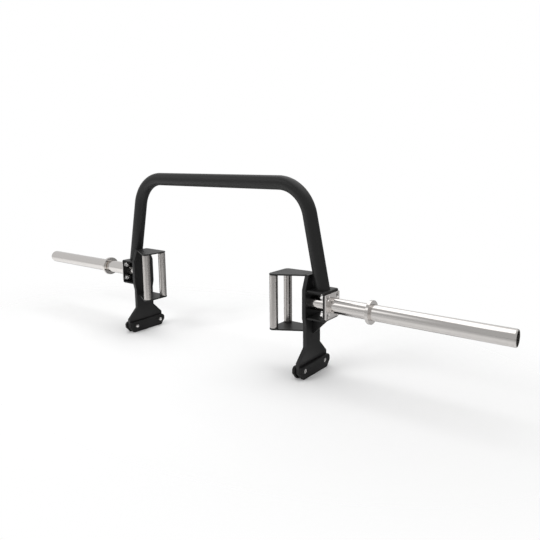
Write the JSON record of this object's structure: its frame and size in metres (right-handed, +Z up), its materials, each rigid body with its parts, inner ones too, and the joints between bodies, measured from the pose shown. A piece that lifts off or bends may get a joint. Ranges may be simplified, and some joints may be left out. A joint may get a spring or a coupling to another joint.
{
  "type": "open-ended trap bar",
  "caption": "Open-ended trap bar: bent tube arch joining upright side plates with vertical grips, jack feet and spinning chrome sleeves for weight plates.",
  "frame": {"origin": "on the floor under the middle of the bar, standing on its foot pads", "axes": "+X along the sleeve axis to the right-hand sleeve, +Y away from the front grips, +Z up"},
  "size_m": [2.1352, 0.177, 0.6539],
  "materials": {
    "black_powder_coat": "satin powder coat",
    "grip_steel": "bare, finely knurled",
    "sleeve_chrome": "polished chrome",
    "spindle_steel": "ground",
    "fastener_zinc": "bright zinc plate",
    "pad_rubber": "matt moulded",
    "bush_bronze": "turned bronze",
    "cap_plastic": "moulded"
  },
  "bodies": {
    "frame": {"arch_tube": "black_powder_coat", "right_side_plate": "black_powder_coat", "right_foot_pad_inner": "pad_rubber", "right_foot_pad_outer": "pad_rubber", "right_foot_screw_front": "fastener_zinc", "right_foot_screw_rear": "fastener_zinc", "right_cassette_upper_plate": "black_powder_coat", "right_cassette_lower_plate": "black_powder_coat", "right_front_grip": "grip_steel", "right_rear_grip": "grip_steel", "right_bracket_upper_gusset": "black_powder_coat", "right_bracket_lower_gusset": "black_powder_coat", "right_bracket_outer_plate": "black_powder_coat", "right_bracket_rib": "black_powder_coat", "right_flange": "sleeve_chrome", "right_flange_bolt_upper_front": "fastener_zinc", "right_flange_bolt_upper_rear": "fastener_zinc", "right_flange_bolt_lower_front": "fastener_zinc", "right_flange_bolt_lower_rear": "fastener_zinc", "right_stub_tube": "sleeve_chrome", "right_support_ring": "fastener_zinc", "right_thrust_washer": "bush_bronze", "right_spindle": "spindle_steel", "right_retaining_washer": "fastener_zinc", "right_retaining_ring": "fastener_zinc", "left_side_plate": "black_powder_coat", "left_foot_pad_inner": "pad_rubber", "left_foot_pad_outer": "pad_rubber", "left_foot_screw_front": "fastener_zinc", "left_foot_screw_rear": "fastener_zinc", "left_cassette_upper_plate": "black_powder_coat", "left_cassette_lower_plate": "black_powder_coat", "left_front_grip": "grip_steel", "left_rear_grip": "grip_steel", "left_bracket_upper_gusset": "black_powder_coat", "left_bracket_lower_gusset": "black_powder_coat", "left_bracket_outer_plate": "black_powder_coat", "left_bracket_rib": "black_powder_coat", "left_flange": "sleeve_chrome", "left_flange_bolt_upper_front": "fastener_zinc", "left_flange_bolt_upper_rear": "fastener_zinc", "left_flange_bolt_lower_front": "fastener_zinc", "left_flange_bolt_lower_rear": "fastener_zinc", "left_stub_tube": "sleeve_chrome", "left_support_ring": "fastener_zinc", "left_thrust_washer": "bush_bronze", "left_spindle": "spindle_steel", "left_retaining_washer": "fastener_zinc", "left_retaining_ring": "fastener_zinc"},
    "right_sleeve": {"right_sleeve_tube": "sleeve_chrome", "right_collar": "sleeve_chrome", "right_inner_bush": "bush_bronze", "right_outer_bush": "bush_bronze", "right_end_cap": "cap_plastic"},
    "left_sleeve": {"left_sleeve_tube": "sleeve_chrome", "left_collar": "sleeve_chrome", "left_inner_bush": "bush_bronze", "left_outer_bush": "bush_bronze", "left_end_cap": "cap_plastic"}
  },
  "joints": [
    {"name": "right_sleeve_spin", "type": "hinge", "parent": "frame", "child": "right_sleeve", "pos_m": [0.6365, 0, 0.243], "axis": [1, 0, 0], "continuous": true},
    {"name": "left_sleeve_spin", "type": "hinge", "parent": "frame", "child": "left_sleeve", "pos_m": [-0.6365, 0, 0.243], "axis": [1, 0, 0], "continuous": true}
  ]
}
